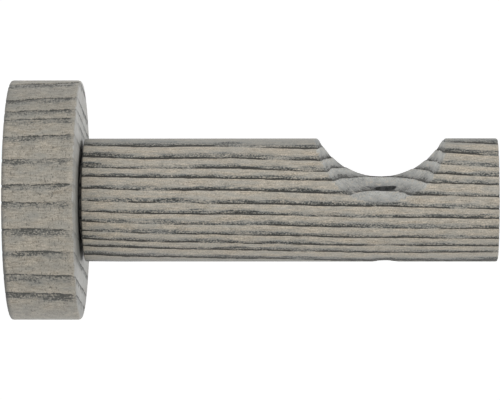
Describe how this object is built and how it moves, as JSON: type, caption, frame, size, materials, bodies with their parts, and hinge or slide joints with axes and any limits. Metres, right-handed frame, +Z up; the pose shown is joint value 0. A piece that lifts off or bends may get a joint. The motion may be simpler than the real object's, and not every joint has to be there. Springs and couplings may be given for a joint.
{
  "type": "curtain pole bracket",
  "caption": "Turned wooden wall bracket for a curtain pole: a round rosette holds a straight round arm with an open saddle and a screw hole near its free end.",
  "frame": {"origin": "middle of the rosette's back face, on the wall, at the mouth of the bolt hole", "axes": "+X leads from the wall into the room along the arm, +Z is up and the saddle opens that way, the pole lies along Y"},
  "size_m": [0.1105, 0.0544, 0.0544],
  "materials": {
    "rosette_wood": "grey glazed, brushed grain, satin",
    "arm_wood": "grey glazed, brushed grain, satin",
    "insert_brass": "turned, bare"
  },
  "bodies": {
    "root": {"rosette": "rosette_wood", "arm": "arm_wood", "threaded_insert": "insert_brass"}
  },
  "joints": []
}
